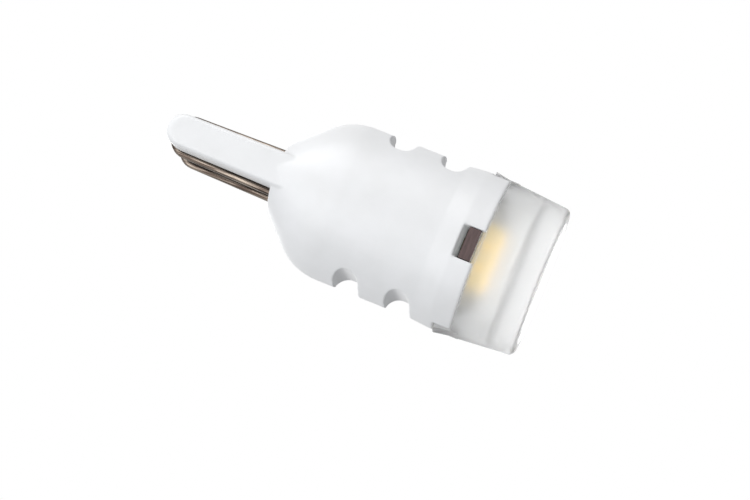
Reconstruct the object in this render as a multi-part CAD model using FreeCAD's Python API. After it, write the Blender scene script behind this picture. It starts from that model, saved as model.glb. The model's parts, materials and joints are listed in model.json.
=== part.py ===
import FreeCAD, Part
import math
import os

# A small wedge-base LED bulb, in millimetres.
# It stands on the flat end of its diffuser cap, and the origin is the middle of that end.
# +Z runs along the bulb to the tip of the wedge tongue.
# X lies across the tongue's broad faces, and Y runs through its thickness.

Vector = FreeCAD.Vector

# Housing: one moulded piece with a round body, a domed shoulder and the flat wedge tongue
body_diameter = 10.5
body_length = 13.8              # from the joint with the diffuser to the flat top of the shoulder
rim_flare = 0.11                # the lens end stands out this much all round
rim_band = 1.5                  # straight part of the flared end
flare_length = 1.3
shoulder_height = 4.4
shoulder_round = 4.0            # radius where the body turns into the shoulder's slope
shoulder_slope = 45.0           # degrees from the bulb's axis, on the two broad sides
shoulder_inset = 0.8            # how far the shoulder has drawn in at its top, at the tongue's edges
shoulder_draw = 1.5             # how late it draws in there: higher is later
shoulder_sections = 9

# Wedge tongue of the W2.1 x 9.5d class
tongue_width = 9.3
tongue_length = 7.6
tongue_corner_radius = 1.2      # at the two corners of the tip, seen on the broad side
tongue_root_thickness = 2.25
tongue_tip_thickness = 2.1
tongue_edge_radius = 0.25
tongue_root_depth = 3.0         # how far the tongue runs down inside the shoulder
tip_round_share = 0.999         # just short of a full round, so a fine flat is left at the tip

# Cross grooves on the two broad sides of the body
groove_width = 1.7
groove_depth = 1.11
groove_floor_radius = 0.75      # between the groove's walls and its floor
groove_lean = 14.0              # degrees by which the walls lean towards the diffuser on their way out
groove_pitch = 3.55
groove_to_joint = 3.95          # from the joint to the middle of the first groove's floor
grooves_per_side = 2

# Inside of the housing
core_wall = 1.0                 # round the inner space
groove_wall = 0.89              # behind the grooves, where the inner space has two flats
roof_thickness = 3.4            # from the inner space up to the flat top of the shoulder
seat_clearance = 0.1            # round the LED board and the cap's spigot
driver_slot_depth = 0.8
slot_clearance = 0.05

# Slots in the housing's rim: two for the LED board's tabs, two for the cap's catches
slot_run_in = 0.3               # how far each slot reaches into the inner space
window_width = 2.15
window_height = 1.46
window_drop = 0.4               # the window's upper wall slopes down by this on its way in
catch_slot_width = 3.2
catch_slot_height = 1.2

# Diffuser cap
lens_height = 4.2               # what shows between the joint and the flat end
lens_taper = 0.36               # smaller by this all round at the flat end
lens_edge_radius = 0.4
lens_end_thickness = 2.0
lens_wall = 1.36
dish_inset = 0.8                # the flat end is very slightly dished inside this edge
dish_depth = 0.12
spigot_height = 0.25
joint_bevel = 0.08
catch_width = 2.8
catch_height = 1.12
catch_thickness = 1.01
catch_step = 0.17               # the catch's outer face slopes out of the rim by this, to a sharp end
catch_slope_start = 0.15        # from the joint
cap_lap = 0.5                   # how far the spigot and the catches run down into the cap's wall

# LED board, and the three emitters side by side on its face
board_ledge = 0.25              # what the board's edge rests on, round the inner space
board_thickness = 0.8
tab_inset = 0.21                # the two tabs end this far inside the rim's outer face
tab_clearance = 0.05
catch_notch_clearance = 0.1
emitter_length = 3.0
emitter_width = 1.35
emitter_height = 0.8
emitter_gap = 0.08
emitter_edge_radius = 0.12
emitter_count = 3
phosphor_length = 2.5
phosphor_width = 1.05
phosphor_depth = 0.3

# Driver board, upright in the tongue's plane
driver_side_gap = 0.3           # from its long edges to the wall of the inner space
driver_thickness = 0.8
driver_end_gap = 0.1

# Lead wires, each a U round the tongue's tip
wire_diameter = 0.5
wire_spacing = 4.0
wire_root_offset = 1.31         # from the tongue's middle plane to the wire at the shoulder
wire_tip_offset = 0.89
wire_tip_inset = 0.08           # the bend stays this far inside the tongue's tip
wire_tip_radius = 0.85
wire_knee_radius = 0.7
wire_foot_length = 0.9          # soldered stretch along the driver board
wire_knee_drop = 0.3            # from the roof of the inner space down to the upper knee
wire_knee_run = 1.1             # height of the slanting stretch
wire_hole_play = 0.2            # outside each wire, where it comes through the shoulder
channel_clearance = 0.03

# Solder
pad_solder_radius = 0.7
pad_solder_height = 0.75
joint_solder_leg = 0.55
joint_solder_length = 1.2
joint_solder_inset = 0.15       # from the driver board's long edges

# Parts on the driver board. They fill the room between the LED board and the wires' solder.
part_gap = 0.15
part_standoff = 0.1
package_bevel = 0.2
rectifier_width_share = 0.6     # of the driver board's width
rectifier_headroom = 0.65       # from its top to the flat of the inner space
rectifier_lead = (0.9, 0.25, 0.6)     # along X, out from the board, along Z
rectifier_leads_per_side = 2
regulator_width_share = 0.5
regulator_headroom = 1.25
regulator_lead = (0.9, 0.2, 0.42)
regulator_leads_per_side = 4
capacitor_side_gap = 1.0        # from its ends to the solder at the board's long edges
capacitor_size = (1.5, 1.6)     # out from the board, along Z
capacitor_cap = 0.5
resistor_side_gap = 0.2
resistor_middle_gap = 0.8
resistor_size = (0.5, 1.25)
resistor_cap = 0.4
diode_size = (1.4, 1.0, 1.8)
diode_lead = (0.6, 0.2, 0.25)
diode_to_roof = 0.2

# How far a cutting shape runs past what it cuts
overrun = 1.0

# Places that follow from the sizes
joint_z = lens_height
rim_top_z = joint_z + rim_band
flare_top_z = rim_top_z + flare_length
shoulder_top_z = joint_z + body_length
shoulder_start_z = shoulder_top_z - shoulder_height
tip_z = shoulder_top_z + tongue_length
body_radius = body_diameter / 2
rim_radius = body_radius + rim_flare
core_radius = body_radius - core_wall
core_half_depth = body_radius - groove_depth - groove_wall
roof_z = shoulder_top_z - roof_thickness
board_radius = core_radius + board_ledge
board_face_z = joint_z + spigot_height
board_back_z = board_face_z + board_thickness
catch_inner = rim_radius - catch_thickness
driver_width = 2 * (core_radius - driver_side_gap)
driver_face = driver_thickness / 2
foot_top_z = roof_z - wire_knee_drop - wire_knee_run
foot_middle_z = foot_top_z - wire_foot_length / 2
groove_z = [joint_z + groove_to_joint + groove_pitch * n for n in range(grooves_per_side)]

# The room for parts on each face of the driver board, in Z and between the solder at its long edges
room_low_z = board_back_z + part_gap
room_high_z = foot_middle_z - pad_solder_radius - part_gap
room_width = driver_width - 2 * (joint_solder_inset + joint_solder_length)


def box(x0, x1, y0, y1, z0, z1):
    return Part.makeBox(x1 - x0, y1 - y0, z1 - z0, Vector(x0, y0, z0))


def cylinder(radius, z0, z1, x=0.0, y=0.0):
    return Part.makeCylinder(radius, z1 - z0, Vector(x, y, z0))


def ring(outer, inner, z0, z1):
    return cylinder(outer, z0, z1).cut(cylinder(inner, z0 - overrun, z1 + overrun))


def turned(points):
    """A solid turned about the bulb's axis from (radius, height) points."""
    corners = [Vector(r, 0, z) for r, z in points]
    outline = Part.makePolygon(corners + corners[:1])
    return Part.Face(outline).revolve(Vector(0, 0, 0), Vector(0, 0, 1), 360)


def across(outline, x0, x1):
    """A solid with the given outline in the YZ plane, running along X from x0 to x1."""
    face = Part.Face(outline)
    face.translate(Vector(x0, 0, 0))
    return face.extrude(Vector(x1 - x0, 0, 0))


def rounded_edges(points, radii, closed=False):
    """Straight runs joined by tangent arcs. A radius of 0 keeps its corner sharp."""
    count = len(points)
    entries = []
    exits = []
    arcs = []
    for index, corner in enumerate(points):
        radius = radii[index]
        if radius == 0 or (not closed and index in (0, count - 1)):
            entries.append(corner)
            exits.append(corner)
            arcs.append(None)
            continue
        back = (points[index - 1] - corner).normalize()
        ahead = (points[(index + 1) % count] - corner).normalize()
        half = back.getAngle(ahead) / 2
        reach = radius / math.tan(half)
        start = corner + back * reach
        end = corner + ahead * reach
        inward = (back + ahead).normalize()
        middle = corner + inward * (radius / math.sin(half) - radius)
        entries.append(start)
        exits.append(end)
        arcs.append(Part.Arc(start, middle, end).toShape())
    edges = []
    last = count if closed else count - 1
    for index in range(count):
        if arcs[index]:
            edges.append(arcs[index])
        if index < last:
            edges.append(Part.LineSegment(exits[index], entries[(index + 1) % count]).toShape())
    return edges


def outline_yz(points, radii):
    corners = [Vector(0, y, z) for y, z in points]
    return Part.Wire(rounded_edges(corners, radii, closed=True))


def tongue_half_thickness(z):
    """Half of the tongue's thickness at a height: it has a slight draft towards the tip."""
    draft = (tongue_root_thickness - tongue_tip_thickness) / 2 / (tongue_length - tongue_tip_thickness / 2)
    return tongue_root_thickness / 2 - draft * (z - shoulder_top_z)


def shoulder_depth(z):
    """Half depth of the shoulder along Y: an arc off the body, then a straight slope."""
    slope = math.radians(shoulder_slope)
    arc_height = shoulder_round * math.sin(slope)
    rise = z - shoulder_start_z
    if rise <= arc_height:
        return body_radius - shoulder_round + math.sqrt(shoulder_round ** 2 - rise ** 2)
    edge = body_radius - shoulder_round * (1 - math.cos(slope))
    return edge - (rise - arc_height) * math.tan(slope)


def shoulder_width(z):
    """Half width of the shoulder along X: it only draws in from the body to the tongue's edges."""
    part = (z - shoulder_start_z) / shoulder_height
    return body_radius - shoulder_inset * part ** shoulder_draw


def shoulder():
    sections = []
    for n in range(shoulder_sections):
        z = shoulder_start_z + shoulder_height * n / (shoulder_sections - 1)
        wide = shoulder_width(z)
        deep = min(shoulder_depth(z), wide)
        oval = Part.Ellipse(Vector(0, 0, z), wide, deep)
        sections.append(Part.Wire(oval.toShape()))
    return Part.makeLoft(sections, True, False)


def tongue():
    root_z = shoulder_top_z - tongue_root_depth
    tip_half = tongue_tip_thickness / 2
    root_half = tongue_half_thickness(root_z)
    points = [(-root_half, root_z), (root_half, root_z), (tip_half, tip_z), (-tip_half, tip_z)]
    corner = math.atan2(root_half - tip_half, tip_z - root_z)
    full_round = tip_half / math.tan(math.pi / 4 + corner / 2) * tip_round_share
    outline = outline_yz(points, [0, 0, full_round, full_round])
    blade = across(outline, -tongue_width / 2, tongue_width / 2)
    return blade.common(tongue_plan(root_z))


def tongue_plan(root_z):
    """The tongue's outline on its broad side, with rounded corners and softened rims."""
    half = tongue_width / 2
    places = [(-half, root_z), (half, root_z), (half, tip_z), (-half, tip_z)]
    corners = [Vector(x, 0, z) for x, z in places]
    radii = [0, 0, tongue_corner_radius, tongue_corner_radius]
    face = Part.Face(Part.Wire(rounded_edges(corners, radii, closed=True)))
    depth = tongue_half_thickness(root_z)
    face.translate(Vector(0, -depth, 0))
    plate = face.extrude(Vector(0, 2 * depth, 0))
    rims = []
    for edge in plate.Edges:
        on_face = all(abs(abs(v.Y) - depth) < 1e-6 for v in edge.Vertexes)
        if on_face and edge.BoundBox.YLength < 1e-6 and edge.BoundBox.ZMax > root_z + 1e-6:
            rims.append(edge)
    return plate.makeFillet(tongue_edge_radius, rims)


def wire_path_points(side_x):
    """The corners of one lead wire, from its foot on the driver board round the tongue's tip and back."""
    foot_y = driver_face + wire_diameter / 2
    knee_z = roof_z - wire_knee_drop
    top_z = tip_z - wire_tip_inset - wire_diameter / 2
    half = [
        (foot_y, foot_top_z - wire_foot_length, 0),
        (foot_y, foot_top_z, wire_knee_radius),
        (wire_root_offset, knee_z, wire_knee_radius),
        (wire_root_offset, shoulder_top_z, wire_knee_radius),
        (wire_tip_offset, top_z, wire_tip_radius),
    ]
    loop = half + [(-y, z, radius) for y, z, radius in reversed(half)]
    points = [Vector(side_x, y, z) for y, z, radius in loop]
    radii = [radius for y, z, radius in loop]
    return points, radii


def lead_wire(side_x):
    points, radii = wire_path_points(side_x)
    path = Part.Wire(rounded_edges(points, radii))
    start = Part.Circle(points[0], Vector(0, 0, 1), wire_diameter / 2)
    section = Part.Wire(start.toShape())
    return path.makePipeShell([section], True, True)


def wire_channel(side_x):
    """What is cut for one wire: its way through the shoulder, then a channel in the tongue round the tip."""
    inset = wire_diameter / 2 + channel_clearance
    low_z = roof_z - overrun
    high_z = tip_z + overrun
    top_z = tip_z - wire_tip_inset - wire_diameter / 2 - inset
    root_y = wire_root_offset - inset
    tip_y = wire_tip_offset - inset
    far_y = wire_root_offset + wire_diameter / 2 + wire_hole_play
    bend = wire_tip_radius - inset
    points = [
        (far_y, low_z), (far_y, high_z), (-far_y, high_z), (-far_y, low_z), (-root_y, low_z),
        (-root_y, shoulder_top_z), (-tip_y, top_z), (tip_y, top_z), (root_y, shoulder_top_z), (root_y, low_z),
    ]
    outline = outline_yz(points, [0, 0, 0, 0, 0, 0, bend, bend, 0, 0])
    return across(outline, side_x - inset, side_x + inset)


def groove_cut(side, z):
    """A groove with a rounded floor and leaning walls, right across one broad side of the body."""
    lean = math.tan(math.radians(groove_lean))
    floor_y = body_radius - groove_depth
    outer_y = body_radius + overrun
    half = groove_width / 2
    shift = (outer_y - floor_y) * lean
    points = [
        (side * floor_y, z - half), (side * outer_y, z - half - shift),
        (side * outer_y, z + half - shift), (side * floor_y, z + half),
    ]
    outline = outline_yz(points, [groove_floor_radius, 0, 0, groove_floor_radius])
    return across(outline, -body_radius, body_radius)


def rim_slots(width, height, drop, turn):
    """A pair of slots on opposite sides of the housing's rim, open towards the diffuser."""
    inner = core_radius - slot_run_in
    outer = rim_radius + overrun
    low_z = joint_z - overrun
    top_z = joint_z + height
    points = [(inner, low_z), (outer, low_z), (outer, top_z), (rim_radius, top_z), (inner, top_z - drop)]
    corners = [Vector(x, -width / 2, z) for x, z in points]
    face = Part.Face(Part.makePolygon(corners + corners[:1]))
    slot = face.extrude(Vector(0, width, 0))
    pair = [slot, slot.copy()]
    pair[1].rotate(Vector(0, 0, 0), Vector(0, 0, 1), 180)
    for piece in pair:
        piece.rotate(Vector(0, 0, 0), Vector(0, 0, 1), turn)
    return pair


def housing():
    profile = [
        (0, joint_z), (rim_radius - joint_bevel, joint_z), (rim_radius, joint_z + joint_bevel),
        (rim_radius, rim_top_z), (body_radius, flare_top_z), (body_radius, shoulder_start_z),
        (0, shoulder_start_z),
    ]
    shell = turned(profile).fuse([shoulder(), tongue()]).removeSplitter()

    cuts = [groove_cut(side, z) for side in (-1, 1) for z in groove_z]
    cuts += [wire_channel(x) for x in (-wire_spacing / 2, wire_spacing / 2)]

    seat = cylinder(board_radius + seat_clearance, joint_z - overrun, board_back_z)
    flats = box(-body_radius, body_radius, -core_half_depth, core_half_depth, joint_z, roof_z)
    core = cylinder(core_radius, joint_z, roof_z).common(flats)
    slot_half_x = driver_width / 2 + slot_clearance
    slot_half_y = driver_face + slot_clearance
    slot_top = roof_z + driver_slot_depth
    driver_slot = box(-slot_half_x, slot_half_x, -slot_half_y, slot_half_y, roof_z - overrun, slot_top)
    cuts += [seat, core, driver_slot]

    cuts += rim_slots(window_width, window_height, window_drop, 0)
    cuts += rim_slots(catch_slot_width, catch_slot_height, 0, 90)
    return shell.cut(cuts)


def diffuser_cap():
    end_radius = rim_radius - lens_taper
    slope = lens_taper / lens_height
    profile = [
        (0, 0), (end_radius, 0), (rim_radius - joint_bevel * slope, joint_z - joint_bevel),
        (rim_radius - joint_bevel, joint_z), (0, joint_z),
    ]
    cap = turned(profile)
    foot = [edge for edge in cap.Edges if edge.BoundBox.ZMax < 1e-6 and edge.Length > end_radius]
    cap = cap.makeFillet(lens_edge_radius, foot)
    dish_radius = end_radius - dish_inset
    dish = Part.makeCone(dish_radius, dish_radius - dish_depth, dish_depth)
    spigot = cylinder(board_radius, joint_z - cap_lap, board_face_z)
    cap = cap.fuse(spigot)

    catch_top = joint_z + catch_height
    arm = ring(rim_radius, catch_inner, joint_z - cap_lap, catch_top)
    hook = turned([
        (catch_inner, joint_z), (rim_radius, joint_z), (rim_radius, joint_z + catch_slope_start),
        (rim_radius + catch_step, catch_top), (catch_inner, catch_top),
    ])
    span = rim_radius + overrun
    keep = box(-catch_width / 2, catch_width / 2, -span, span, joint_z, catch_top + overrun)
    catches = arm.fuse(hook).common(keep)
    cap = cap.fuse(catches)

    bore = cylinder(rim_radius - lens_wall, lens_end_thickness, catch_top + overrun)
    return cap.cut([dish, bore]).removeSplitter()


def led_board():
    disc = cylinder(board_radius, board_face_z, board_back_z)
    tab_half = window_width / 2 - tab_clearance
    reach = rim_radius - tab_inset
    tabs = box(-reach, reach, -tab_half, tab_half, board_face_z, board_back_z)
    notch_half = catch_width / 2 + catch_notch_clearance
    notch_inner = math.sqrt(catch_inner ** 2 - (catch_width / 2) ** 2) - catch_notch_clearance
    notches = []
    for side in (-1, 1):
        y0, y1 = sorted((side * notch_inner, side * body_radius))
        notches.append(box(-notch_half, notch_half, y0, y1, board_face_z - overrun, board_back_z + overrun))
    return disc.fuse(tabs).cut(notches).removeSplitter()


def emitter_places():
    pitch = emitter_width + emitter_gap
    return [(n - (emitter_count - 1) / 2) * pitch for n in range(emitter_count)]


def phosphor(y):
    half_x = phosphor_length / 2
    half_y = phosphor_width / 2
    face_z = board_face_z - emitter_height
    return box(-half_x, half_x, y - half_y, y + half_y, face_z, face_z + phosphor_depth)


def emitter_body(y):
    half_x = emitter_length / 2
    half_y = emitter_width / 2
    body = box(-half_x, half_x, y - half_y, y + half_y, board_face_z - emitter_height, board_face_z)
    upright = [edge for edge in body.Edges if abs(edge.Length - emitter_height) < 1e-6]
    return body.makeFillet(emitter_edge_radius, upright).cut(phosphor(y))


def driver_board():
    top = roof_z + driver_slot_depth - driver_end_gap
    return box(-driver_width / 2, driver_width / 2, -driver_face, driver_face, board_back_z, top)


def wire_solder(side_x, side_y, wire):
    """A small mound of solder that holds a wire's foot to its pad on the driver board."""
    base = Vector(side_x, side_y * driver_face, foot_middle_z)
    out = Vector(0, side_y, 0)
    mound = Part.makeCone(pad_solder_radius, pad_solder_radius / 2, pad_solder_height, base, out)
    return mound.cut(wire)


def board_solder(side_x, side_y):
    """A fillet of solder in the corner between the two boards."""
    leg = joint_solder_leg
    face = side_y * driver_face
    points = [(face, board_back_z), (face + side_y * leg, board_back_z), (face, board_back_z + leg)]
    half = joint_solder_length / 2
    middle = side_x * (driver_width / 2 - joint_solder_inset - half)
    return across(outline_yz(points, [0, 0, 0]), middle - half, middle + half)


def on_driver(size, x, low_z, side_y, standoff=0.0):
    """A block standing out from one face of the driver board: its size, middle along X and lower end."""
    wide, out, tall = size
    y0, y1 = sorted((side_y * (driver_face + standoff), side_y * (driver_face + standoff + out)))
    return box(x - wide / 2, x + wide / 2, y0, y1, low_z, low_z + tall)


def package(size, low_z, side_y):
    """A moulded package with bevelled top edges, a little clear of the board."""
    body = on_driver(size, 0, low_z, side_y, part_standoff)
    top_y = side_y * (driver_face + part_standoff + size[1])
    rims = [edge for edge in body.Edges if all(abs(v.Y - top_y) < 1e-6 for v in edge.Vertexes)]
    return body.makeChamfer(package_bevel, rims)


def package_depth(headroom):
    return core_half_depth - driver_face - part_standoff - headroom


def side_leads(size, low_z, lead, per_side, side_y):
    """The leads at both long sides of a package, evenly spaced along it."""
    pitch = size[2] / per_side
    reach = size[0] / 2 + lead[0] / 2
    leads = []
    for n in range(per_side):
        lead_z = low_z + pitch * (n + 0.5) - lead[2] / 2
        for side in (-1, 1):
            leads.append(on_driver(lead, side * reach, lead_z, side_y))
    return Part.makeCompound(leads)


def rectifier():
    """The bridge rectifier on the front face, above the capacitor: its body and its four leads."""
    low_z = room_low_z + capacitor_size[1] + part_gap
    size = (driver_width * rectifier_width_share, package_depth(rectifier_headroom), room_high_z - low_z)
    leads = side_leads(size, low_z, rectifier_lead, rectifier_leads_per_side, -1)
    return package(size, low_z, -1), leads


def regulator():
    """The eight-lead regulator on the back face, above the resistors: its body and its leads."""
    low_z = room_low_z + resistor_size[1] + part_gap
    size = (driver_width * regulator_width_share, package_depth(regulator_headroom), room_high_z - low_z)
    leads = side_leads(size, low_z, regulator_lead, regulator_leads_per_side, 1)
    return package(size, low_z, 1), leads


def chip(length, size, cap, x, side_y):
    """The body and the two plated ends of a chip part at the foot of the driver board."""
    out, tall = size
    body = on_driver((length - 2 * cap, out, tall), x, room_low_z, side_y)
    reach = length / 2 - cap / 2
    ends = [on_driver((cap, out, tall), x + side * reach, room_low_z, side_y) for side in (-1, 1)]
    return body, Part.makeCompound(ends)


def surge_diode():
    """The small diode between the wires' feet on the back face: its body and its two leads."""
    wide, out, tall = diode_size
    lead_length = diode_lead[2]
    high_z = roof_z - diode_to_roof
    low_z = high_z - 2 * lead_length - tall
    leads = [on_driver(diode_lead, 0, z, 1) for z in (low_z, high_z - lead_length)]
    return package(diode_size, low_z + lead_length, 1), Part.makeCompound(leads)


def all_nodes():
    nodes = {
        "housing": housing(),
        "diffuser_cap": diffuser_cap(),
        "led_board": led_board(),
        "driver_board": driver_board(),
    }
    for n, y in enumerate(emitter_places(), start=1):
        nodes["emitter_%d_body" % n] = emitter_body(y)
        nodes["emitter_%d_phosphor" % n] = phosphor(y)
    for name, side_x in (("left", -1), ("right", 1)):
        wire = lead_wire(side_x * wire_spacing / 2)
        nodes["lead_wire_" + name] = wire
        for face, side_y in (("front", -1), ("back", 1)):
            nodes["wire_solder_%s_%s" % (name, face)] = wire_solder(side_x * wire_spacing / 2, side_y, wire)
            nodes["board_solder_%s_%s" % (name, face)] = board_solder(side_x, side_y)
    nodes["rectifier_body"], nodes["rectifier_leads"] = rectifier()
    nodes["regulator_body"], nodes["regulator_leads"] = regulator()
    capacitor_length = room_width - 2 * capacitor_side_gap
    nodes["capacitor_body"], nodes["capacitor_ends"] = chip(
        capacitor_length, capacitor_size, capacitor_cap, 0, -1)
    resistor_length = (room_width - 2 * resistor_side_gap - resistor_middle_gap) / 2
    resistor_x = (resistor_middle_gap + resistor_length) / 2
    for n, x in enumerate((-resistor_x, resistor_x), start=1):
        body, ends = chip(resistor_length, resistor_size, resistor_cap, x, 1)
        nodes["resistor_%d_body" % n] = body
        nodes["resistor_%d_ends" % n] = ends
    nodes["surge_diode_body"], nodes["surge_diode_leads"] = surge_diode()
    return nodes


def main():
    os.makedirs("parts", exist_ok=True)
    for name, shape in all_nodes().items():
        shape.exportStep("parts/%s.step" % name)
        print(name, "solids", len(shape.Solids), "volume %.3f" % shape.Volume, "valid", shape.isValid())


main()
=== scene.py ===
# %% [markdown]
# # A small wedge base LED bulb
#
# The bulb is a white moulded housing with a flat wedge tongue, a frosted diffuser cap that snaps
# into its lower end, two lead wires bent round the tongue, and two small boards inside.
# The solids made earlier are loaded as a fixed frame. What shows from outside is then modelled
# again, finer and with the soft edges of moulded plastic, and everything gets a finish.

# %% Load the frame
import bmesh
import bpy
import json
import math
from mathutils import Matrix, Vector

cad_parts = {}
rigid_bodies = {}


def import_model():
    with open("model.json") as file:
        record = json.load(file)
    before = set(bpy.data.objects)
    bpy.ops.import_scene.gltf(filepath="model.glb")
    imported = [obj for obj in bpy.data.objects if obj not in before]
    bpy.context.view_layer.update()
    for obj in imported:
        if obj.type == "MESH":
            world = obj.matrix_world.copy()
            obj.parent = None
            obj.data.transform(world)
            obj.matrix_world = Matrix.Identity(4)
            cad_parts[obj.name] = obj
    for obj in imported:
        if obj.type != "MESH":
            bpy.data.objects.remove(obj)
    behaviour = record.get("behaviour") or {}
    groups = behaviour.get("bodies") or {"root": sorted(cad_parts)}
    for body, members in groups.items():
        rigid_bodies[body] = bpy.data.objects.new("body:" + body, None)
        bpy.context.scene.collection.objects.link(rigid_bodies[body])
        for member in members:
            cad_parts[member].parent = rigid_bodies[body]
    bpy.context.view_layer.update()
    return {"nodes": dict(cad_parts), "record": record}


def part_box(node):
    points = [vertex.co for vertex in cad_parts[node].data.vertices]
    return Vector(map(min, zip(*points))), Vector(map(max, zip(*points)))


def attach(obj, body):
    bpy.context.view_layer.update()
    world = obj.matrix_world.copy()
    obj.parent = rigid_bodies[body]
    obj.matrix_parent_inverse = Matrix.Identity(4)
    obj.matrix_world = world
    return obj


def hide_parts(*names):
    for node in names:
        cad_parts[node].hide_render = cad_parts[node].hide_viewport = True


for leftover in list(bpy.data.objects):
    bpy.data.objects.remove(leftover)
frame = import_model()
nodes = frame["nodes"]

# %% [markdown]
# ## Sizes
#
# Everything is modelled in millimetres and only turned into metres at the end, because a bulb of
# 25 mm is easier to read in whole numbers, and because the tools that rebuild a surface from
# small cells don't go below a tenth of a millimetre at Blender's own scale. The main sizes are
# read from the frame, so they can't drift away from it. The rest are the housing's own sizes.

# %% Sizes in millimetres
MM = 0.001


def box_of(node):
    low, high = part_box(node)
    return low / MM, high / MM


housing_low, housing_high = box_of("housing")
joint_z = housing_low.z
tip_z = housing_high.z
rim_radius = housing_high.x
rim_flare = 0.11
rim_band = 1.5
flare_length = 1.3
body_radius = rim_radius - rim_flare
rim_top_z = joint_z + rim_band
flare_top_z = rim_top_z + flare_length
tongue_length = 7.6
shoulder_top_z = tip_z - tongue_length
shoulder_height = 4.4
shoulder_start_z = shoulder_top_z - shoulder_height
joint_bevel = 0.08
print("joint %.2f  shoulder %.2f to %.2f  tip %.2f" % (joint_z, shoulder_start_z, shoulder_top_z, tip_z))

# %% [markdown]
# ## The camera
#
# The photograph looks at the bulb's narrow side and a little from the lens end, with the whole
# picture turned, so that the bulb seems to lie. Turning the camera about its own axis gives the
# same picture as laying the bulb down, and the bulb can stay where the frame has it. The place is
# worked out from angles and a distance, then aimed at one point, so no lens shift is needed and
# the other views stay centred.

# %% Camera
PHOTO_WIDTH = 750
camera_azimuth = math.radians(83.5)
camera_elevation = math.radians(-7.133)
camera_distance = 165.0
camera_roll = math.radians(-67.956)
focal_length_pixels = 2557.8
film_width = 36
orbit_centre = Vector((0, 0, 13.0))
aim_point = Vector((0.09, -2.05, 10.75))

outward = Vector((
    math.sin(camera_azimuth) * math.cos(camera_elevation),
    -math.cos(camera_azimuth) * math.cos(camera_elevation),
    math.sin(camera_elevation),
))
camera_place = orbit_centre + outward * camera_distance
camera_data = bpy.data.cameras.new("camera")
camera_data.sensor_width = film_width
camera_data.lens = focal_length_pixels / PHOTO_WIDTH * film_width
camera_data.clip_start = 0.01
camera_data.clip_end = 10
camera = bpy.data.objects.new("camera", camera_data)
bpy.context.collection.objects.link(camera)
level = (aim_point - camera_place).to_track_quat("-Z", "Y").to_matrix().to_4x4()
camera.matrix_world = Matrix.Translation(camera_place * MM) @ level @ Matrix.Rotation(camera_roll, 4, "Z")
bpy.context.scene.camera = camera
print("lens %.1f mm at" % camera_data.lens, camera.location)

# %% [markdown]
# ## The floor
#
# A product picture like this one has no visible ground. Here the floor is a large pale ring just
# under the bulb's foot. It shows from above, where it takes the soft shadow, and lets sight pass
# from below, which is where the photograph was taken from. The hole under the foot keeps the
# flat end of the lens open to the light and to the eye.

# %% Floor
floor_radius = 900.0
floor_hole_radius = 4.7
floor_drop = 0.01
floor_steps = 96


def object_from(shape, name, scale=MM):
    """An object with the given bmesh, turned from millimetres into metres."""
    mesh = bpy.data.meshes.new(name)
    shape.to_mesh(mesh)
    shape.free()
    mesh.transform(Matrix.Scale(scale, 4))
    made = bpy.data.objects.new(name, mesh)
    bpy.context.collection.objects.link(made)
    return made


def circle(radius, z, steps):
    turns = [2 * math.pi * n / steps for n in range(steps)]
    return [(radius * math.cos(turn), radius * math.sin(turn), z) for turn in turns]


def floor_ring():
    shape = bmesh.new()
    inner = [shape.verts.new(p) for p in circle(floor_hole_radius, -floor_drop, floor_steps)]
    outer = [shape.verts.new(p) for p in circle(floor_radius, -floor_drop, floor_steps)]
    for n in range(floor_steps):
        following = (n + 1) % floor_steps
        shape.faces.new((inner[n], outer[n], outer[following], inner[following]))
    return object_from(shape, "floor")


floor = floor_ring()
print("floor faces", len(floor.data.polygons), "facing", floor.data.polygons[0].normal)

# %% [markdown]
# Its finish is plain pale paint. To other rays than the camera's it is a mid grey, or it would
# throw so much light up that the bulb's grooves lose their shade. The back of each face is left
# clear by mixing in a transparent shader where the ray meets the back of the surface. A Mix node
# has sockets for numbers, vectors and colours under the same names, so the ones for colours are
# picked by their number.

# %% Floor finish
floor_colour = (0.86, 0.865, 0.87)
floor_bounce_colour = (0.36, 0.36, 0.36)
MIX_SHARE = 0
MIX_FIRST_COLOUR = 6
MIX_SECOND_COLOUR = 7
MIX_BLEND = 2


def floor_paint():
    paint = bpy.data.materials.new("pale_floor")
    paint.use_nodes = True
    tree = paint.node_tree
    tree.nodes.clear()
    side = tree.nodes.new("ShaderNodeNewGeometry")
    path = tree.nodes.new("ShaderNodeLightPath")
    tone = tree.nodes.new("ShaderNodeMix")
    tone.data_type = "RGBA"
    tone.inputs[MIX_FIRST_COLOUR].default_value = (*floor_bounce_colour, 1)
    tone.inputs[MIX_SECOND_COLOUR].default_value = (*floor_colour, 1)
    diffuse = tree.nodes.new("ShaderNodeBsdfDiffuse")
    clear = tree.nodes.new("ShaderNodeBsdfTransparent")
    mix = tree.nodes.new("ShaderNodeMixShader")
    out = tree.nodes.new("ShaderNodeOutputMaterial")
    tree.links.new(path.outputs["Is Camera Ray"], tone.inputs[MIX_SHARE])
    tree.links.new(tone.outputs[MIX_BLEND], diffuse.inputs["Color"])
    tree.links.new(side.outputs["Backfacing"], mix.inputs["Fac"])
    tree.links.new(diffuse.outputs[0], mix.inputs[1])
    tree.links.new(clear.outputs[0], mix.inputs[2])
    tree.links.new(mix.outputs[0], out.inputs["Surface"])
    return paint


floor.data.materials.append(floor_paint())
print("floor finish", floor.data.materials[0].name)

# %% [markdown]
# ## The light
#
# The world gives an even, slightly cool light, as a white room does. To the eye, in reflections
# and through the frosted cap it is plain white, which makes the picture's white ground.

# %% World
world_light = 0.53
world_colour = (0.93, 0.955, 1.0, 1)


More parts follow.
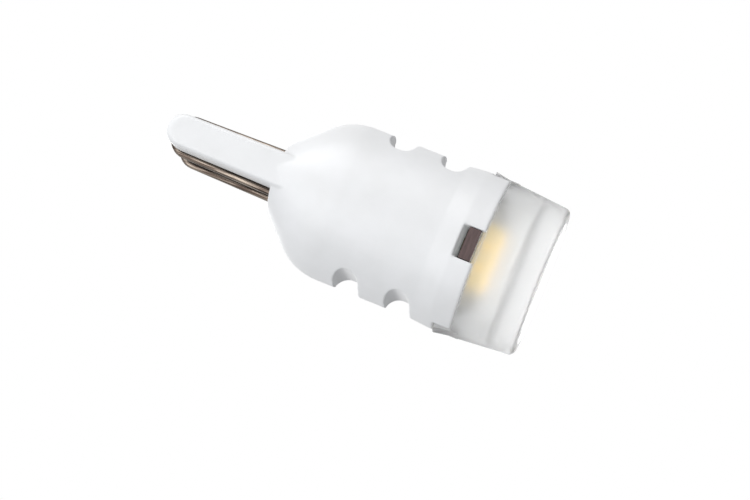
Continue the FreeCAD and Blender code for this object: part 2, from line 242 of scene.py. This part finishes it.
def build_world():
    world = bpy.data.worlds.new("studio")
    world.use_nodes = True
    bpy.context.scene.world = world
    tree = world.node_tree
    tree.nodes.clear()
    path = tree.nodes.new("ShaderNodeLightPath")
    seen = tree.nodes.new("ShaderNodeMath")
    seen.operation = "MAXIMUM"
    shown = tree.nodes.new("ShaderNodeMath")
    shown.operation = "MAXIMUM"
    light = tree.nodes.new("ShaderNodeBackground")
    light.inputs["Color"].default_value = world_colour
    light.inputs["Strength"].default_value = world_light
    white = tree.nodes.new("ShaderNodeBackground")
    white.inputs["Color"].default_value = (1, 1, 1, 1)
    white.inputs["Strength"].default_value = 1
    mix = tree.nodes.new("ShaderNodeMixShader")
    out = tree.nodes.new("ShaderNodeOutputWorld")
    tree.links.new(path.outputs["Is Camera Ray"], seen.inputs[0])
    tree.links.new(path.outputs["Is Glossy Ray"], seen.inputs[1])
    tree.links.new(seen.outputs[0], shown.inputs[0])
    tree.links.new(path.outputs["Is Transmission Ray"], shown.inputs[1])
    tree.links.new(shown.outputs[0], mix.inputs["Fac"])
    tree.links.new(light.outputs[0], mix.inputs[1])
    tree.links.new(white.outputs[0], mix.inputs[2])
    tree.links.new(mix.outputs[0], out.inputs["Surface"])


build_world()
bpy.context.scene.view_settings.view_transform = "Standard"
print("world light", world_light)

# %% [markdown]
# White plastic on white needs one side lighter than the other, or its form is lost. The strongest
# lamp stands on the side that is the picture's upper side. Two weaker ones fill from the camera's
# side, and one behind the bulb lifts the far edges. All are large squares, so that no shadow has
# a hard edge. A lamp's level is the tone that it alone gives a white card.

# %% Lamps
def soft_lamp(name, direction, distance, size, level, colour):
    """A square lamp in a direction from the bulb, whose level is what a white card would show."""
    place = orbit_centre + Vector(direction).normalized() * distance
    lamp = bpy.data.lights.new(name, "AREA")
    lamp.shape = "SQUARE"
    lamp.size = size * MM
    lamp.color = colour
    lamp.energy = level * math.pi ** 2 * (distance * MM) ** 2
    made = bpy.data.objects.new(name, lamp)
    made.visible_camera = False
    bpy.context.collection.objects.link(made)
    turn = (orbit_centre - place).to_track_quat("-Z", "Y").to_matrix().to_4x4()
    made.matrix_world = Matrix.Translation(place * MM) @ turn
    print(name, "%.3f W" % lamp.energy)


soft_lamp(
    "key_lamp", direction=(0.55, 0.80, 0.50), distance=220, size=160,
    level=0.52, colour=(0.99, 0.99, 1.0))
soft_lamp(
    "side_lamp", direction=(1.0, -0.2, 0.2), distance=220, size=80,
    level=0.12, colour=(0.98, 0.98, 1.0))
soft_lamp(
    "front_lamp", direction=(0.75, -0.65, 0.3), distance=260, size=160,
    level=0.34, colour=(0.96, 0.975, 1.0))
soft_lamp(
    "back_lamp", direction=(-0.90, 0.10, 0.60), distance=260, size=160,
    level=0.22, colour=(1.0, 1.0, 1.0))

# %% [markdown]
# ## Shapes from rings
#
# Most parts of the bulb are round or oval in one direction, so they can be laid as a stack of
# rings with the same number of points, and a skin pulled over them. It is the same idea as a
# ship's frames and planks. Two closed ends make it a solid, and a straight cutter is simply a
# skin over two equal rings.

# %% Rings and skins
ROUND_STEPS = 192


def skin(rings):
    """A closed solid through rings of points, as a bmesh in millimetres."""
    shape = bmesh.new()
    loops = [[shape.verts.new(point) for point in ring] for ring in rings]
    count = len(rings[0])
    for lower, upper in zip(loops, loops[1:]):
        for n in range(count):
            following = (n + 1) % count
            shape.faces.new((lower[n], lower[following], upper[following], upper[n]))
    shape.faces.new(list(reversed(loops[0])))
    shape.faces.new(loops[-1])
    bmesh.ops.recalc_face_normals(shape, faces=shape.faces)
    return shape


def oval(wide, deep, z):
    turns = [2 * math.pi * n / ROUND_STEPS for n in range(ROUND_STEPS)]
    return [(wide * math.cos(turn), deep * math.sin(turn), z) for turn in turns]


def turned(profile):
    """A solid of revolution from (radius, height) points. Its first and last rings are closed flat."""
    return skin([oval(radius, radius, z) for radius, z in profile])


def along_x(outline, x0, x1):
    """A straight bar along X with a (y, z) outline."""
    return skin([[(x, y, z) for y, z in outline] for x in (x0, x1)])


def along_z(outline, z0, z1):
    """A straight bar along Z with an (x, y) outline."""
    return skin([[(x, y, z) for x, y in outline] for z in (z0, z1)])


def rectangle(a0, a1, b0, b1):
    return [(a0, b0), (a1, b0), (a1, b1), (a0, b1)]


# %% [markdown]
# A moulded part has few truly sharp corners. This helper takes the straight runs of an outline
# and puts an arc into each corner that has a radius, which is what a draughtsman does with a
# compass after the lines are drawn.

# %% Rounded outlines
CORNER_STEPS = 10


def rounded(points, radii):
    """The closed outline with an arc in each corner whose radius isn't 0."""
    outline = []
    for n, (point, radius) in enumerate(zip(points, radii)):
        corner = Vector(point)
        if radius == 0:
            outline.append(tuple(corner))
            continue
        back = (Vector(points[n - 1]) - corner).normalized()
        ahead = (Vector(points[(n + 1) % len(points)]) - corner).normalized()
        half = back.angle(ahead) / 2
        start = corner + back * (radius / math.tan(half))
        centre = corner + (back + ahead).normalized() * (radius / math.sin(half))
        spoke = start - centre
        swing = math.pi - 2 * half
        if back.x * ahead.y - back.y * ahead.x > 0:
            swing = -swing
        for step in range(CORNER_STEPS + 1):
            turn = Matrix.Rotation(swing * step / CORNER_STEPS, 2)
            outline.append(tuple(centre + turn @ spoke))
    return outline


rounded_square = rounded([(0, 0), (10, 0), (10, 10), (0, 10)], [2, 2, 2, 2])
print("a rounded square has", len(rounded_square), "points")

# %% [markdown]
# ## How moulded plastic is shaped
#
# The housing could be bevelled edge by edge, but its cuts meet in curved lines where bevels
# tangle. Here the form is built crisp, with each hollow cut by its own tool, as a mould maker
# cuts steel. Then the whole surface is rebuilt from small cells and smoothed a little, which
# leaves every edge with the same small radius, as shrinking plastic does. Last the mesh is
# thinned where it is flat.

# %% Moulding
def use_tools(piece, added, cutters):
    """Joins some forms to the piece and cuts others from it, and returns their objects."""
    tools = []
    for operation, shapes in (("UNION", added), ("DIFFERENCE", cutters)):
        for shape in shapes:
            tool = object_from(shape, "tool", scale=1)
            tools.append(tool)
            change = piece.modifiers.new(operation.lower(), "BOOLEAN")
            change.operation = operation
            change.solver = "EXACT"
            change.object = tool
    return tools


def settle(piece, tools):
    """Turns what the modifiers make into the piece's own mesh, in metres."""
    seen = piece.evaluated_get(bpy.context.evaluated_depsgraph_get())
    mesh = bpy.data.meshes.new_from_object(seen)
    mesh.transform(Matrix.Scale(MM, 4))
    piece.modifiers.clear()
    piece.data = mesh
    mesh.name = piece.name
    for face in mesh.polygons:
        face.use_smooth = True
    for tool in tools:
        bpy.data.objects.remove(tool)
    print(piece.name, "faces", len(mesh.polygons))


def moulded(name, body, added, cutters, cell, smoothing, keep):
    """Joins and cuts crisp forms and softens every edge."""
    piece = object_from(body, name, scale=1)
    tools = use_tools(piece, added, cutters)
    cells = piece.modifiers.new("cells", "REMESH")
    cells.mode = "VOXEL"
    cells.voxel_size = cell
    soften = piece.modifiers.new("soften", "SMOOTH")
    soften.factor = 0.5
    soften.iterations = smoothing
    thin = piece.modifiers.new("thin", "DECIMATE")
    thin.ratio = keep
    settle(piece, tools)
    return piece


# %% [markdown]
# ## The housing's body and shoulder
#
# The body is round and very slightly flared at the lens end. Above it the shoulder runs from a
# circle to a flat oval: on the two broad sides it turns over an arc and then slopes at 45
# degrees, and at the tongue's edges it hardly draws in. Rings handle this well, because each one
# only needs its height, its half width and its half depth.

# %% Body and shoulder
shoulder_round = 4.0
shoulder_slope = math.radians(45)
shoulder_inset = 0.6
shoulder_draw = 1.5
shoulder_rings = 28


def shoulder_depth(rise):
    arc_height = shoulder_round * math.sin(shoulder_slope)
    if rise <= arc_height:
        return body_radius - shoulder_round + math.sqrt(shoulder_round ** 2 - rise ** 2)
    edge = body_radius - shoulder_round * (1 - math.cos(shoulder_slope))
    return edge - (rise - arc_height) * math.tan(shoulder_slope)


def housing_body():
    rings = [
        oval(rim_radius - joint_bevel, rim_radius - joint_bevel, joint_z),
        oval(rim_radius, rim_radius, joint_z + joint_bevel),
        oval(rim_radius, rim_radius, rim_top_z),
        oval(body_radius, body_radius, flare_top_z),
    ]
    for n in range(shoulder_rings + 1):
        rise = shoulder_height * n / shoulder_rings
        wide = body_radius - shoulder_inset * (rise / shoulder_height) ** shoulder_draw
        deep = min(shoulder_depth(rise), wide)
        rings.append(oval(wide, deep, shoulder_start_z + rise))
    return skin(rings)


print("the shoulder's top is %.2f deep" % (2 * shoulder_depth(shoulder_height)))

# %% [markdown]
# ## The wedge tongue
#
# The tongue is what the socket grips. It is a flat blade with a full round at its tip and
# rounded corners, a little thinner at the tip so that it leaves the mould. It is skinned along X.
# Towards each end the same rounded outline gets lower, which rounds the corner, and on the last
# quarter of a millimetre it is also drawn in all round, which softens the rim.

# %% Tongue
tongue_half_width = 4.65
tongue_root_half = 1.16
tongue_tip_half = 1.05
tongue_rim_radius = 0.25
tongue_corner_radius = 0.5
tongue_root_depth = 3.0
tongue_root_z = shoulder_top_z - tongue_root_depth
corner_stations = 12
tip_steps = 24


def tongue_outline(inset, drop):
    root = tongue_root_half - inset
    tip = tongue_tip_half - inset
    centre_z = tip_z - tongue_tip_half - drop
    outline = [(-root, tongue_root_z), (root, tongue_root_z)]
    for n in range(tip_steps + 1):
        turn = math.pi * n / tip_steps
        outline.append((tip * math.cos(turn), centre_z + tip * math.sin(turn)))
    return outline


def tongue():
    stations = []
    for n in range(corner_stations + 1):
        turn = math.pi / 2 * n / corner_stations
        x = tongue_half_width - tongue_corner_radius * (1 - math.sin(turn))
        drop = tongue_corner_radius * (1 - math.cos(turn))
        into_rim = max(0, x - tongue_half_width + tongue_rim_radius)
        inset = tongue_rim_radius - math.sqrt(tongue_rim_radius ** 2 - into_rim ** 2)
        stations.append((x, inset, max(0, drop - inset)))
    both_ends = [(-x, inset, drop) for x, inset, drop in reversed(stations)] + stations
    return skin([[(x, y, z) for y, z in tongue_outline(inset, drop)] for x, inset, drop in both_ends])


print("tongue %.2f wide and %.2f thick at its tip" % (2 * tongue_half_width, 2 * tongue_tip_half))

# %% [markdown]
# ## Grooves, channels and hollows
#
# Two round-bottomed grooves run across each broad side, their walls leaning towards the lens on
# the way out. Each lead wire comes up through the shoulder and lies in a channel that gets deeper
# towards the tongue's tip. Each hollow is made as a solid bar of its outline, which later cuts
# the housing. The bars run past the surface, so that no skin as thin as paper is left there.

# %% Cutters for the outside
groove_width = 1.7
groove_depth = 1.11
groove_floor_radius = 0.75
groove_lean = math.radians(14)
groove_to_joint = 3.95
groove_pitch = 3.55
grooves_per_side = 2
groove_heights = [joint_z + groove_to_joint + groove_pitch * n for n in range(grooves_per_side)]
roof_thickness = 3.4
roof_z = shoulder_top_z - roof_thickness
wire_x = 2.0
wire_radius = 0.25
wire_root_y = 1.31
wire_tip_y = 1.15
wire_tip_inset = 0.08
wire_top_z = tip_z - wire_tip_inset - wire_radius
wire_tip_radius = 1.0
wire_hole_play = 0.2
channel_clearance = 0.03
past = 1.0


def groove(side, z):
    floor_y, outer_y = side * (body_radius - groove_depth), side * (body_radius + past)
    half = groove_width / 2
    shift = (groove_depth + past) * math.tan(groove_lean)
    points = [
        (floor_y, z - half), (outer_y, z - half - shift),
        (outer_y, z + half - shift), (floor_y, z + half),
    ]
    outline = rounded(points, [groove_floor_radius, 0, 0, groove_floor_radius])
    return along_x(outline, -body_radius - past, body_radius + past)


def channel(x):
    inset = wire_radius + channel_clearance
    root_y, tip_y = wire_root_y - inset, wire_tip_y - inset
    top_z = wire_top_z - inset
    far_y, low_z, far_z = wire_root_y + wire_radius + wire_hole_play, roof_z - past, tip_z + past
    points = [
        (far_y, low_z), (far_y, far_z), (-far_y, far_z), (-far_y, low_z), (-root_y, low_z),
        (-root_y, shoulder_top_z), (-tip_y, top_z), (tip_y, top_z), (root_y, shoulder_top_z), (root_y, low_z),
    ]
    bend = wire_tip_radius - inset
    return along_x(rounded(points, [0, 0, 0, 0, 0, 0, bend, bend, 0, 0]), x - inset, x + inset)


print("grooves at", ["%.2f" % z for z in groove_heights], "and channels at", (-wire_x, wire_x))

# %% [markdown]
# Inside there is a round seat for the LED board, a hollow with two flats for the driver board,
# and a slot that holds the driver board's end. The rim has four slots: two are windows for the
# LED board's tabs, and two take the cap's catches. They are cut in the same way, by bars and
# turned solids that stand where the boards stand.

# %% Cutters for the inside
board_low, board_high = box_of("led_board")
driver_high = box_of("driver_board")[1]
core_wall = 1.0
core_radius = body_radius - core_wall
core_half_depth = 3.25
board_ledge = 0.25
seat_clearance = 0.1
seat_radius = core_radius + board_ledge + seat_clearance
slot_play = 0.05
driver_end_gap = 0.1
slot_run_in = 0.3
window_width, window_height, window_drop = 2.15, 1.46, 0.4
catch_slot_width, catch_slot_height = 3.2, 1.2


def core():
    outline = []
    for x, y, z in oval(core_radius, core_radius, 0):
        outline.append((x, max(-core_half_depth, min(core_half_depth, y))))
    return along_z(outline, joint_z - past, roof_z)


def driver_slot():
    half_x, half_y = driver_high.x + slot_play, driver_high.y + slot_play
    top_z = driver_high.z + driver_end_gap
    return along_z(rectangle(-half_x, half_x, -half_y, half_y), roof_z - past, top_z)


def rim_slots():
    """Two windows for the LED board's tabs and two slots for the cap's catches."""
    near, far = core_radius - slot_run_in, rim_radius + past
    window_half, window_top = window_width / 2, joint_z + window_height
    catch_half, catch_top = catch_slot_width / 2, joint_z + catch_slot_height
    slots = []
    for side in (-1, 1):
        window = [
            (side * near, joint_z - past), (side * far, joint_z - past), (side * far, window_top),
            (side * rim_radius, window_top), (side * near, window_top - window_drop),
        ]
        slots.append(skin([[(x, y, z) for x, z in window] for y in (-window_half, window_half)]))
        y0, y1 = sorted((side * near, side * far))
        slots.append(along_z(rectangle(-catch_half, catch_half, y0, y1), joint_z - past, catch_top))
    return slots


print("seat %.2f and hollow %.2f in radius" % (seat_radius, core_radius))

# %% [markdown]
# Now the housing is made in one go. The cells are fine enough for the wires' channels, and four
# passes of smoothing leave its edges with a radius of about a tenth of a millimetre.

# %% Housing
cell_size = 0.07
soft_passes = 4
kept_share = 0.25

housing_cutters = [groove(side, z) for side in (-1, 1) for z in groove_heights]
housing_cutters += [channel(-wire_x), channel(wire_x)]
housing_cutters += [turned([(seat_radius, joint_z - past), (seat_radius, board_high.z)])]
housing_cutters += [core(), driver_slot()] + rim_slots()
housing = moulded(
    "housing_shell", housing_body(), [tongue()], housing_cutters, cell_size, soft_passes, kept_share)
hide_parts("housing")
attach(housing, "root")

# %% [markdown]
# ## The diffuser cap
#
# The cap is a thick-walled cup of frosted plastic with its mouth towards the LEDs. It is turned
# from one profile: the very slightly dished flat end, a rounded edge, a wall that widens towards
# the joint, a low spigot that centres it, and the bore. Two catches stand up from its rim, each
# thicker towards its sharp end, and snap into the housing's slots. Light goes through the cap,
# and every facet of a rebuilt surface could show there, so it stays as it is turned.

# %% Diffuser cap
lens_taper = 0.36
lens_edge_radius = 0.4
lens_floor_z = 2.0
lens_wall = 1.36
bore_radius = rim_radius - lens_wall
dish_inset = 0.8
dish_radius = rim_radius - lens_taper - dish_inset
dish_depth = 0.12
spigot_radius = core_radius + board_ledge
spigot_top_z = board_low.z
cap_high = box_of("diffuser_cap")[1]
cap_lap = 0.5
catch_half_width = 1.4
catch_thickness = 1.01
catch_top_z = cap_high.z
catch_inner_radius = rim_radius - catch_thickness
catch_slope_start = 0.15
catch_slope_z = joint_z + catch_slope_start
catch_steps = 16
hook_reach = cap_high.y
sharpest_smooth_angle = math.radians(35)


def cap_profile():
    end_radius = rim_radius - lens_taper
    points = [
        (dish_radius - dish_depth, dish_depth), (dish_radius, 0), (end_radius, 0),
        (rim_radius - joint_bevel * lens_taper / joint_z, joint_z - joint_bevel),
        (rim_radius - joint_bevel, joint_z), (spigot_radius, joint_z), (spigot_radius, spigot_top_z),
        (bore_radius, spigot_top_z), (bore_radius, lens_floor_z),
    ]
    return rounded(points, [0, 0, lens_edge_radius, 0, 0, 0, 0, 0, 0])


def catch(side):
    stops = [-catch_half_width + 2 * catch_half_width * n / catch_steps for n in range(catch_steps + 1)]
    rings = []
    levels = [(joint_z - cap_lap, rim_radius), (catch_slope_z, rim_radius), (catch_top_z, hook_reach)]
    for z, outer in levels:
        outside = [(x, side * math.sqrt(outer ** 2 - x ** 2), z) for x in stops]
        inside = [(x, side * math.sqrt(catch_inner_radius ** 2 - x ** 2), z) for x in reversed(stops)]
        rings.append(outside + inside)
    return skin(rings)


cap = object_from(turned(cap_profile()), "diffuser_lens", scale=1)
settle(cap, use_tools(cap, [catch(side) for side in (-1, 1)], []))
cap.data.set_sharp_from_angle(angle=sharpest_smooth_angle)
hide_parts("diffuser_cap")
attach(cap, "root")

# %% [markdown]
# ## The lead wires
#
# Each wire is one length of round tinned wire: soldered to the driver board, led out through the
# shoulder, down its channel, round the tongue's tip and back the same way. A curve with a round
# section is the natural tool. Each bend is one pair of Bezier points whose handles aim at the
# corner, and the handle length makes the bend a true arc. The curve is turned into a mesh at the
# end, because the box around a curve also counts the radius that its points could have, a metre.

# %% Lead wires
foot_y = driver_high.y + wire_radius
knee_under_roof = 0.3
knee_z = roof_z - knee_under_roof
slope_height = 1.1
foot_top_z = knee_z - slope_height
foot_length = 0.9
knee_radius = 0.7


def wire_route(x):
    half = [
        (foot_y, foot_top_z - foot_length, 0), (foot_y, foot_top_z, knee_radius),
        (wire_root_y, knee_z, knee_radius), (wire_root_y, shoulder_top_z, knee_radius),
        (wire_tip_y, wire_top_z, wire_tip_radius),
    ]
    both = half + [(-y, z, radius) for y, z, radius in reversed(half)]
    return [(Vector((x, y, z)), radius) for y, z, radius in both]


def bend_points(route):
    """(place, left handle, right handle) for every end and every arc of a route."""
    points = [(route[0][0],) * 3]
    for n in range(1, len(route) - 1):
        corner, radius = route[n]
        back = (route[n - 1][0] - corner).normalized()
        ahead = (route[n + 1][0] - corner).normalized()
        half = back.angle(ahead) / 2
        reach = radius / math.tan(half)
        pull = 4 / 3 * math.tan((math.pi - 2 * half) / 4) * radius
        start, end = corner + back * reach, corner + ahead * reach
        points.append((start, start + back * pull, start - back * pull))
        points.append((end, end - ahead * pull, end + ahead * pull))
    points.append((route[-1][0],) * 3)
    return points


def lead_wire(name, x):
    curve = bpy.data.curves.new(name, "CURVE")
    curve.dimensions = "3D"
    curve.bevel_depth = wire_radius * MM
    curve.bevel_resolution = 6
    curve.resolution_u = 8
    curve.use_fill_caps = True
    points = bend_points(wire_route(x))
    spline = curve.splines.new("BEZIER")
    spline.bezier_points.add(len(points) - 1)
    for knot, (place, left, right) in zip(spline.bezier_points, points):
        knot.handle_left_type = knot.handle_right_type = "FREE"
        knot.co, knot.handle_left, knot.handle_right = place * MM, left * MM, right * MM
    tube = bpy.data.objects.new(name + "_route", curve)
    made = bpy.data.objects.new(name, bpy.data.meshes.new_from_object(tube))
    bpy.context.collection.objects.link(made)
    bpy.data.objects.remove(tube)
    return made


wires = []
for side, x in (("left", -wire_x), ("right", wire_x)):
    wire = lead_wire("wire_" + side, x)
    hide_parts("lead_wire_" + side)
    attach(wire, "root")
    wires.append(wire)
print("wires", [wire.name for wire in wires])

# %% [markdown]
# ## Finishes
#
# Each finish is a small network of nodes: a shader, one or two noises at the size of what they
# stand for, and a bump where the surface has a grain. These helpers keep each network short. The
# sizes are given in millimetres, and the texture space is the object's own, so nothing slides.

# %% Node helpers
def finish_of(name, colour, roughness, metallic=0.0):
    """A new material with one Principled shader, returned as (material, tree, shader)."""
    made = bpy.data.materials.new(name)
    made.use_nodes = True
    shader = made.node_tree.nodes["Principled BSDF"]
    shader.inputs["Base Color"].default_value = (*colour, 1)
    shader.inputs["Roughness"].default_value = roughness
    shader.inputs["Metallic"].default_value = metallic
    return made, made.node_tree, shader


def noise(tree, size, detail=2.0, stretch=(1, 1, 1)):
    """Noise whose grains are about size millimetres across, stretched along the axes."""
    place = tree.nodes.new("ShaderNodeTexCoord")
    mapping = tree.nodes.new("ShaderNodeMapping")
    mapping.inputs["Scale"].default_value = [1 / (size * MM * s) for s in stretch]
    grains = tree.nodes.new("ShaderNodeTexNoise")
    grains.inputs["Scale"].default_value = 1
    grains.inputs["Detail"].default_value = detail
    tree.links.new(place.outputs["Object"], mapping.inputs["Vector"])
    tree.links.new(mapping.outputs[0], grains.inputs["Vector"])
    return grains.outputs["Fac"]


def spread(tree, value, low, high, start=0.3, end=0.7):
    """Maps a value from start..end to low..high."""
    change = tree.nodes.new("ShaderNodeMapRange")
    change.inputs["From Min"].default_value = start
    change.inputs["From Max"].default_value = end
    change.inputs["To Min"].default_value = low
    change.inputs["To Max"].default_value = high
    tree.links.new(value, change.inputs["Value"])
    return change.outputs["Result"]


def blend_colours(tree, factor, first, second):
    mix = tree.nodes.new("ShaderNodeMix")
    mix.data_type = "RGBA"
    mix.inputs[MIX_FIRST_COLOUR].default_value = (*first, 1)
    mix.inputs[MIX_SECOND_COLOUR].default_value = (*second, 1)
    tree.links.new(factor, mix.inputs[MIX_SHARE])
    return mix.outputs[MIX_BLEND]


def grain(tree, shader, height, depth):
    """A bump on the shader. Depth is in millimetres."""
    bump = tree.nodes.new("ShaderNodeBump")
    bump.inputs["Distance"].default_value = depth * MM
    tree.links.new(height, bump.inputs["Height"])
    tree.links.new(bump.outputs[0], shader.inputs["Normal"])


# %% [markdown]
# The housing is white glass-filled plastic from a finely eroded mould: satin, with a grain far
# finer than a millimetre and a faint cloudiness where the filler flowed.

# %% Housing plastic
def housing_plastic():
    made, tree, shader = finish_of("housing_white", (0.86, 0.86, 0.855), 0.36)
    cloud = noise(tree, 2.2, detail=3)
    tint = blend_colours(tree, spread(tree, cloud, 0, 1), (0.885, 0.885, 0.88), (0.845, 0.845, 0.835))
    tree.links.new(tint, shader.inputs["Base Color"])
    fine = noise(tree, 0.09, detail=2)
    tree.links.new(spread(tree, fine, 0.32, 0.46), shader.inputs["Roughness"])
    grain(tree, shader, fine, 0.0035)
    return made


housing.data.materials.append(housing_plastic())
print("housing finish", housing.data.materials[0].name)

# %% [markdown]
# The diffuser is clear plastic made milky: light gets in, is scattered by its rough skin, and
# what is inside shows only as a soft blur. A transmitting shader with a rough surface does both.
# Fine specks vary the skin's roughness and tint, but only a little: each smoother spot shows as a
# dark dot.

# %% Diffuser plastic
def diffuser_plastic():
    made, tree, shader = finish_of("diffuser_frosted", (0.97, 0.975, 0.965), 0.4)
    shader.inputs["Transmission Weight"].default_value = 0.92
    shader.inputs["IOR"].default_value = 1.3
    specks = noise(tree, 0.16, detail=3)
    tint = blend_colours(tree, spread(tree, specks, 0, 1), (0.975, 0.985, 0.985), (1.0, 1.0, 1.0))
    tree.links.new(tint, shader.inputs["Base Color"])
    tree.links.new(spread(tree, specks, 0.37, 0.45), shader.inputs["Roughness"])
    grain(tree, shader, specks, 0.003)
    return made


cap.data.materials.append(diffuser_plastic())
print("cap finish", cap.data.materials[0].name)

# %% [markdown]
# The wires are tinned copper that was drawn through a die: fine lines run along them, and the
# metal has gone dark and brownish in the air, more in some lines than in others.

# %% Wire finish
def tinned_wire():
    made, tree, shader = finish_of("wire_tinned", (0.19, 0.155, 0.125), 0.2, metallic=1.0)
    streaks = noise(tree, 0.12, detail=3, stretch=(1, 1, 18))
    share = spread(tree, streaks, 0, 1, 0.4, 0.6)
    tint = blend_colours(tree, share, (0.24, 0.2, 0.165), (0.06, 0.044, 0.036))
    tree.links.new(tint, shader.inputs["Base Color"])
    tree.links.new(spread(tree, streaks, 0.16, 0.34), shader.inputs["Roughness"])
    grain(tree, shader, streaks, 0.004)
    return made


wire_finish = tinned_wire()
for wire in wires:
    wire.data.materials.append(wire_finish)
print("wire finish", wire_finish.name)

# %% [markdown]
# The LED board's faces carry a white mask. Its cut edge, which shows in the housing's windows, is
# the bare brown laminate with its layers. The direction of the surface tells them apart.

# %% Board finishes
laminate_roughness = 0.45
layer_shade = 0.55
layer_stretch = 8


def laminate(name, mask, edge, axis):
    """A board whose faces look along the axis. They carry the mask, and its rim is the bare edge."""
    made, tree, shader = finish_of(name, mask, laminate_roughness)
    facing = tree.nodes.new("ShaderNodeNewGeometry")
    split = tree.nodes.new("ShaderNodeSeparateXYZ")
    upright = tree.nodes.new("ShaderNodeMath")
    upright.operation = "ABSOLUTE"
    tree.links.new(facing.outputs["Normal"], split.inputs[0])
    tree.links.new(split.outputs[axis], upright.inputs[0])
    stretch = [1 if letter == axis else layer_stretch for letter in "XYZ"]
    layers = noise(tree, 0.12, detail=2, stretch=stretch)
    cut = blend_colours(tree, spread(tree, layers, 0, 1), edge, [c * layer_shade for c in edge])
    mix = tree.nodes.new("ShaderNodeMix")
    mix.data_type = "RGBA"
    mix.inputs[MIX_SECOND_COLOUR].default_value = (*mask, 1)
    tree.links.new(upright.outputs[0], mix.inputs[MIX_SHARE])
    tree.links.new(cut, mix.inputs[MIX_FIRST_COLOUR])
    tree.links.new(mix.outputs[MIX_BLEND], shader.inputs["Base Color"])
    grain(tree, shader, layers, 0.01)
    return made


finishes = {
    "led_board_laminate": laminate("led_board_laminate", (0.82, 0.83, 0.81), (0.12, 0.075, 0.07), "Z"),
    "driver_laminate": laminate("driver_laminate", (0.05, 0.20, 0.09), (0.42, 0.38, 0.22), "Y"),
}
print("board finishes", list(finishes))

# %% [markdown]
# The parts inside are plain: yellow phosphor in white frames, black moulded packages with a fine
# matt grain, ceramic chips, bright solder and tinned leads. One function covers them, with the
# colour, the gloss and the size of the grain for each.

# %% Small parts
def small_part(name, colour, roughness, metallic, size, contrast, depth):
    made, tree, shader = finish_of(name, colour, roughness, metallic)
    fine = noise(tree, size, detail=3)
    darker = [c * (1 - contrast) for c in colour]
    tree.links.new(blend_colours(tree, spread(tree, fine, 0, 1), colour, darker), shader.inputs["Base Color"])
    tree.links.new(spread(tree, fine, roughness * 0.85, roughness * 1.15), shader.inputs["Roughness"])
    grain(tree, shader, fine, depth)
    return made


# each row: colour, roughness, metallic, size of the grain, contrast, depth of the bump
small_part_looks = {
    "emitter_white": ((0.92, 0.82, 0.52), 0.45, 0, 0.1, 0.06, 0.003),
    "emitter_phosphor": ((0.98, 0.7, 0.16), 0.55, 0, 0.08, 0.12, 0.006),
    "solder": ((0.74, 0.74, 0.73), 0.24, 1, 0.25, 0.15, 0.01),
    "package_black": ((0.035, 0.035, 0.037), 0.6, 0, 0.05, 0.3, 0.004),
    "package_leads": ((0.72, 0.71, 0.69), 0.32, 1, 0.12, 0.12, 0.004),
    "capacitor_ceramic": ((0.52, 0.38, 0.24), 0.5, 0, 0.08, 0.12, 0.004),
    "resistor_ceramic": ((0.06, 0.06, 0.065), 0.4, 0, 0.1, 0.2, 0.003),
}
for name, look in small_part_looks.items():
    finishes[name] = small_part(name, *look)
print("finishes", len(finishes))

# %% [markdown]
# The phosphor turns part of the light that falls on it into yellow light of its own, which is why
# it looks so vivid even when the bulb is off. A little emission stands for that, and a weaker one
# for the frames, which are full of the same light.

# %% Phosphor glow
def glow(name, colour, strength):
    shader = finishes[name].node_tree.nodes["Principled BSDF"]
    shader.inputs["Emission Color"].default_value = (*colour, 1)
    shader.inputs["Emission Strength"].default_value = strength
    print(name, "glows at", strength)


glow("emitter_phosphor", (1.0, 0.62, 0.14), 1.2)
glow("emitter_white", (1.0, 0.7, 0.25), 0.45)

# %% [markdown]
# The record says which slot each solid takes its finish from, so the solids that stay are painted
# by reading it.

# %% Paint the solids that stay
def painted_nodes():
    count = 0
    for row in frame["record"]["subparts"]:
        finish = finishes.get(row["material_slot"])
        if finish:
            solid = nodes[row["node"]]
            solid.data.materials.clear()
            solid.data.materials.append(finish)
            count += 1
    return count


print("painted", painted_nodes())
